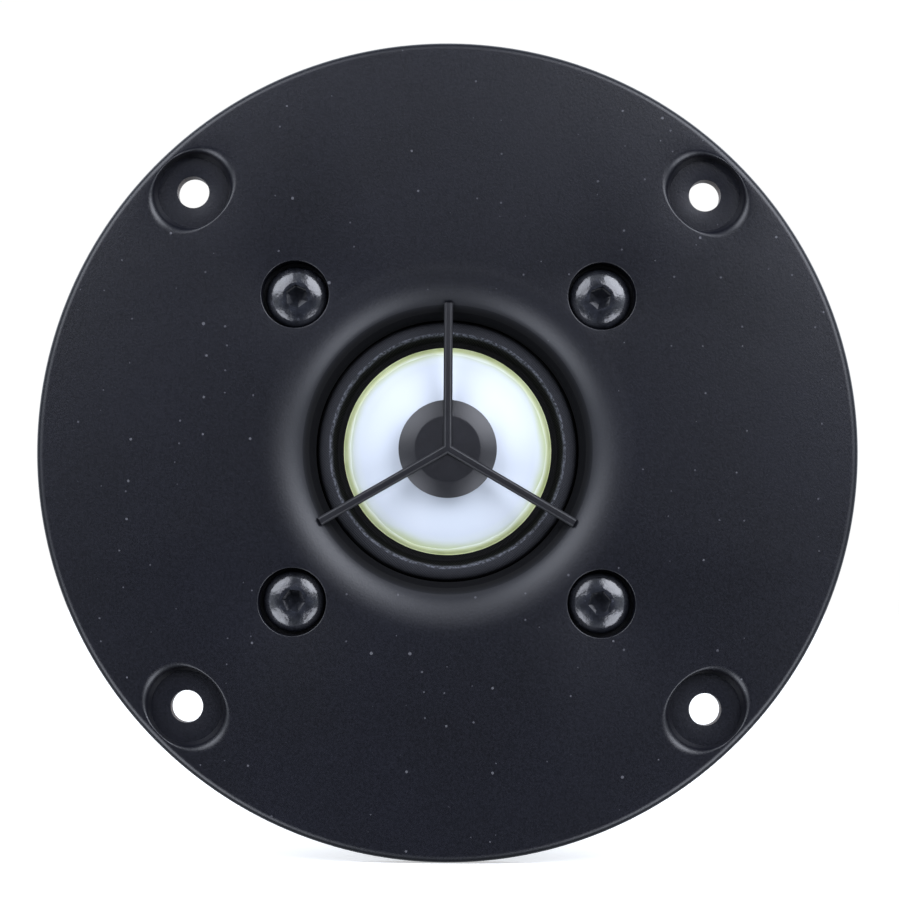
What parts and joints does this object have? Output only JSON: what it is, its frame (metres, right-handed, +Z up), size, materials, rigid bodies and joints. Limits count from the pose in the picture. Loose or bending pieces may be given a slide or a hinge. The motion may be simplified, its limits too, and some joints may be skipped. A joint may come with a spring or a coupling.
{
  "type": "dome tweeter",
  "caption": "Round screw-on dome tweeter with a short waveguide, a ribbed guard with a centre disc, a white dome and a vented ferrite motor.",
  "frame": {"origin": "on the acoustic axis, in the plane of the flange's rear face, at the centre of the four fixing holes", "axes": "-Y is the way the dome faces, +Z is up with one guard rib pointing up, +X is to the right of someone looking at the front"},
  "size_m": [0.1, 0.0336, 0.1],
  "materials": {
    "satin_black_plate": "satin black paint, fine grain",
    "guard_black": "satin moulded plastic",
    "black_screw": "glossy black oxide",
    "gasket_foam": "fine closed-cell foam",
    "dome_white": "smooth satin white",
    "edge_adhesive": "translucent yellow-green",
    "coil_former": "thin bare foil",
    "copper": "enamelled wire, tight turns",
    "surround_cloth": "coated black cloth",
    "black_moulding": "matt moulded",
    "black_zinc_steel": "black-plated turned steel",
    "ferrite": "ground ferrite",
    "felt": "pressed felt",
    "damping_foam": "open-cell foam",
    "tinned_brass": "plated blade"
  },
  "bodies": {
    "housing": {"faceplate": "satin_black_plate", "guard": "guard_black", "assembly_screws": "black_screw", "flange_gasket": "gasket_foam", "surround": "surround_cloth", "surround_clamp_ring": "black_moulding", "top_plate": "black_zinc_steel", "magnet_ring": "ferrite", "yoke": "black_zinc_steel", "shorting_ring": "copper", "pole_felt_ring": "felt", "vent_felt_plug": "felt", "rear_chamber_cup": "black_moulding", "rear_chamber_foam": "damping_foam", "terminal_board": "black_moulding", "terminal_board_screws": "black_screw", "terminal_tab_positive": "tinned_brass", "terminal_tab_negative": "tinned_brass", "lead_wire_positive": "copper", "lead_wire_negative": "copper"},
    "diaphragm": {"dome": "dome_white", "dome_edge_adhesive": "edge_adhesive", "voice_coil_former": "coil_former", "voice_coil_winding": "copper"}
  },
  "joints": [
    {"name": "diaphragm_travel", "type": "slide", "parent": "housing", "child": "diaphragm", "axis": [0, -1, 0], "range_m": [-0.0005, 0.0005], "stiffness_N_per_m": 6770, "deforming": ["surround", "lead_wire_positive", "lead_wire_negative"]}
  ]
}
